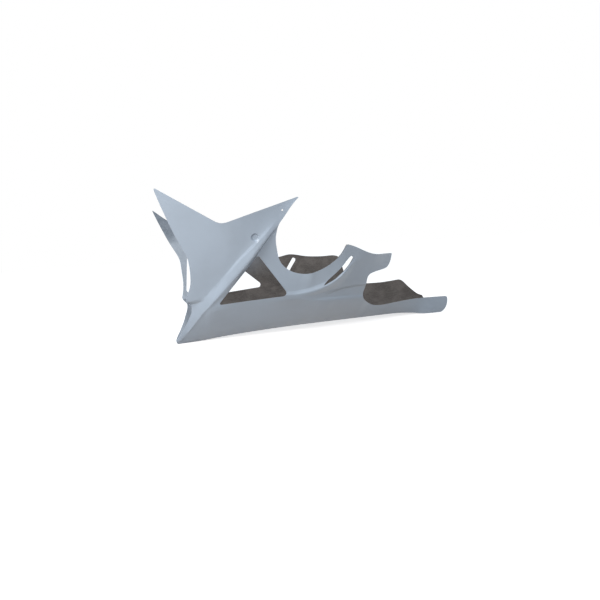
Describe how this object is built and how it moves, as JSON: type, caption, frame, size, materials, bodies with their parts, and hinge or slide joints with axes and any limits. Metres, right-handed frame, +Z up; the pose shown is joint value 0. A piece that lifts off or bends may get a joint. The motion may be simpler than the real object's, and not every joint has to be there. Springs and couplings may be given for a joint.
{
  "type": "motorcycle belly pan",
  "caption": "One-piece moulded belly pan for a sports motorcycle, with pointed side wings, open side windows, slanted slots and a narrow open tail.",
  "frame": {"origin": "centre of the pan's bounding box in plan, at the lowest line of the keel", "axes": "+X towards the tail, +Y towards the rider's right, +Z up; the pan stands on its chin and its tail pad"},
  "size_m": [0.8169, 0.478, 0.3704],
  "materials": {
    "gelcoat": "satin blue-grey gelcoat over glass-fibre laminate, bare laminate inside"
  },
  "bodies": {
    "root": {"belly_pan": "gelcoat"}
  },
  "joints": []
}
